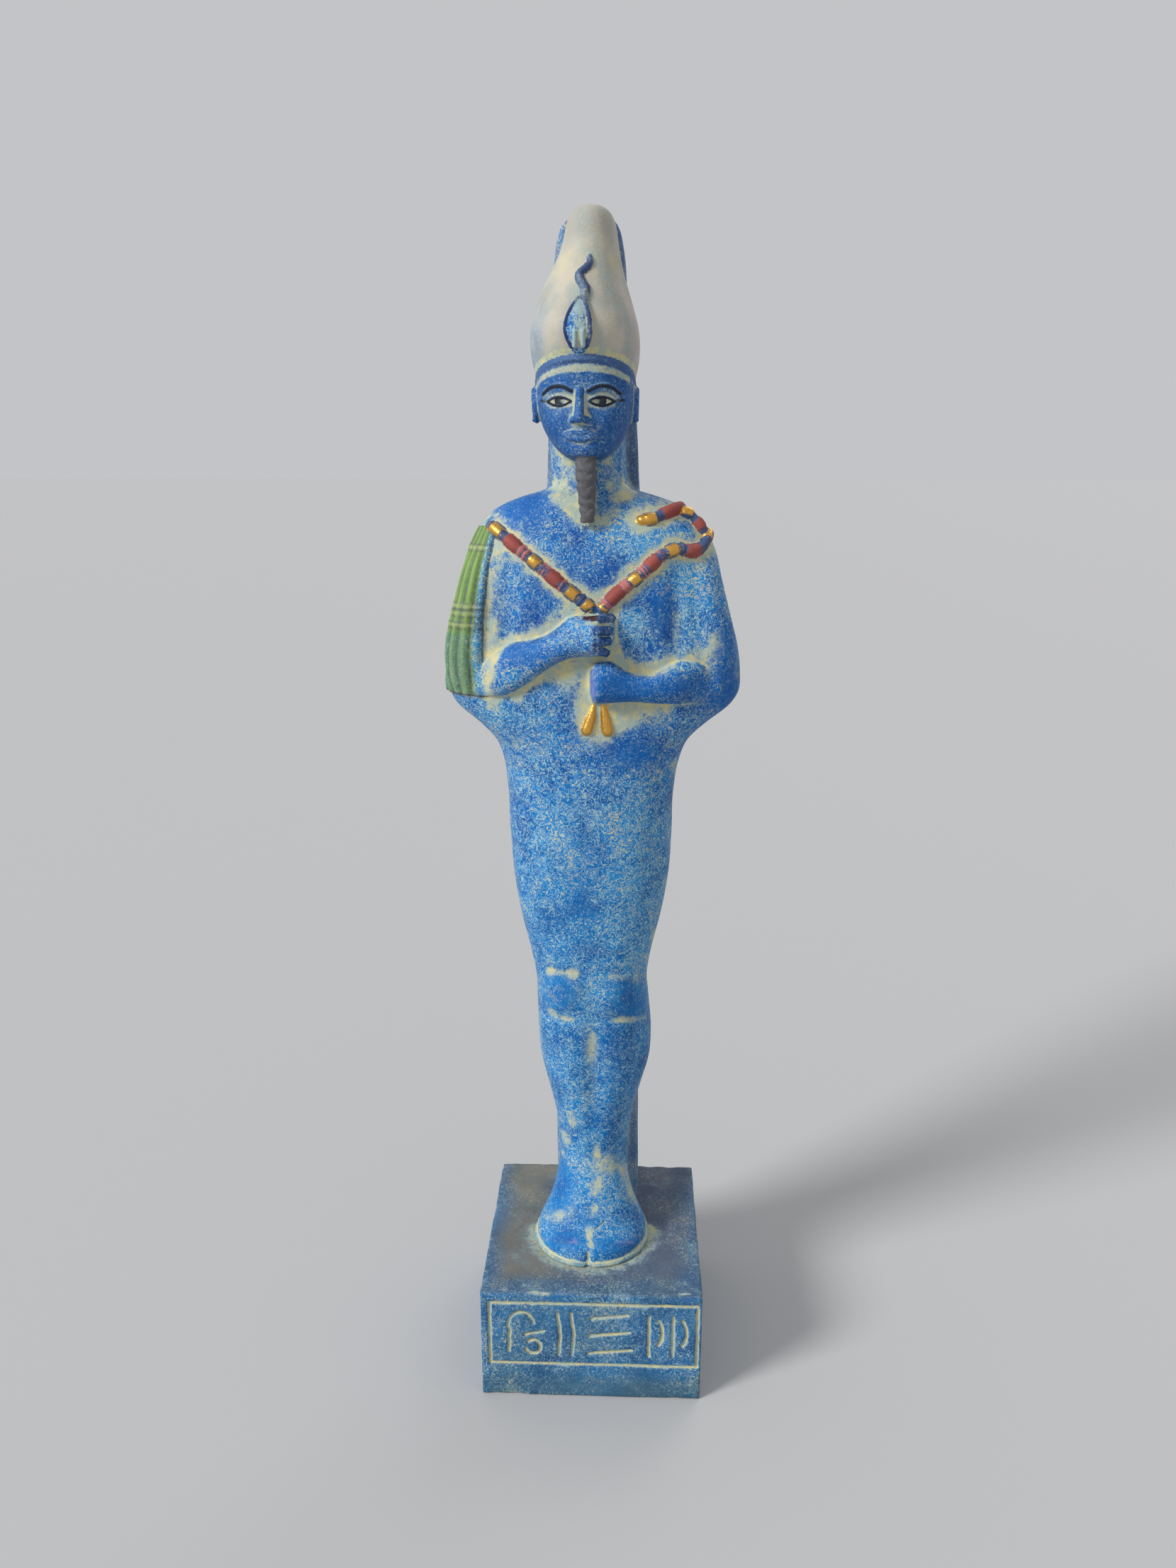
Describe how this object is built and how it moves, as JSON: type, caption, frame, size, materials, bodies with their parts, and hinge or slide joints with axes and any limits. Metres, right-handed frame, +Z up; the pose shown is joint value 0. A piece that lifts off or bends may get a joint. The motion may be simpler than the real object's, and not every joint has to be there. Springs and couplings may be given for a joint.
{
  "type": "osiris figure",
  "caption": "Standing wrapped king in a tall crown, arms crossed over a crook and flail, with a back pillar, cast in one piece with its square plinth.",
  "frame": {"origin": "middle of the plinth's flat underside", "axes": "+Z up, the figure faces -Y, +X is the viewer's right"},
  "size_m": [0.075, 0.0594, 0.3],
  "materials": {
    "painted_cast": "Hand-painted cast stone: worn blue glaze with a fine pale speckle and cream wash in the hollows, an off-white crown, and red, gold and green details"
  },
  "bodies": {
    "root": {"osiris_figure": "painted_cast"}
  },
  "joints": []
}
